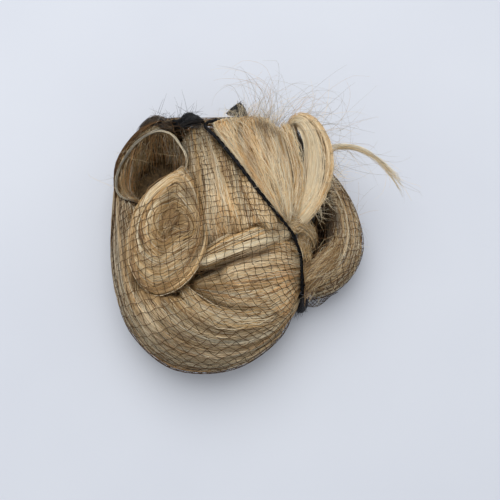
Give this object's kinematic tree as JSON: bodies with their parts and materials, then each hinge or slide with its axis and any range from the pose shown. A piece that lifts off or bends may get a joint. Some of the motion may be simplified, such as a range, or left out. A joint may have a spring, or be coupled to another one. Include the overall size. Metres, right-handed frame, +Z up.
{
  "type": "clip-in hair extension in a hair net",
  "caption": "Coiled hank of blonde clip-in hair kept in a stretch hair net with a corded mouth, with a loose tuft and a curled lock coming out of it.",
  "frame": {"origin": "on the flat underside of the net, under the middle of the bundle", "axes": "+Z up from the surface it lies on, +X from the coiled curl towards the side coil, +Y from the bottom of the bundle towards the gathered end of the net"},
  "size_m": [0.1713, 0.1557, 0.0699],
  "materials": {
    "hair_blonde": "satin strands",
    "hair_honey": "satin strands",
    "hair_cream": "satin strands",
    "hair_umber": "satin strands in shade",
    "net_black": "fine knotted thread",
    "elastic_black": "twisted cord",
    "clip_metal": "satin lacquer"
  },
  "bodies": {
    "root": {"hair_curl": "hair_blonde", "hair_roll": "hair_umber", "hair_sweep": "hair_honey", "hair_fan": "hair_blonde", "hair_fall": "hair_blonde", "hair_loop": "hair_cream", "hair_spill": "hair_cream", "hair_side_coil": "hair_honey", "hair_net": "net_black", "net_elastic": "elastic_black", "net_gather": "net_black", "net_corner": "net_black", "net_knot": "net_black", "weft_clip": "clip_metal"}
  },
  "joints": []
}
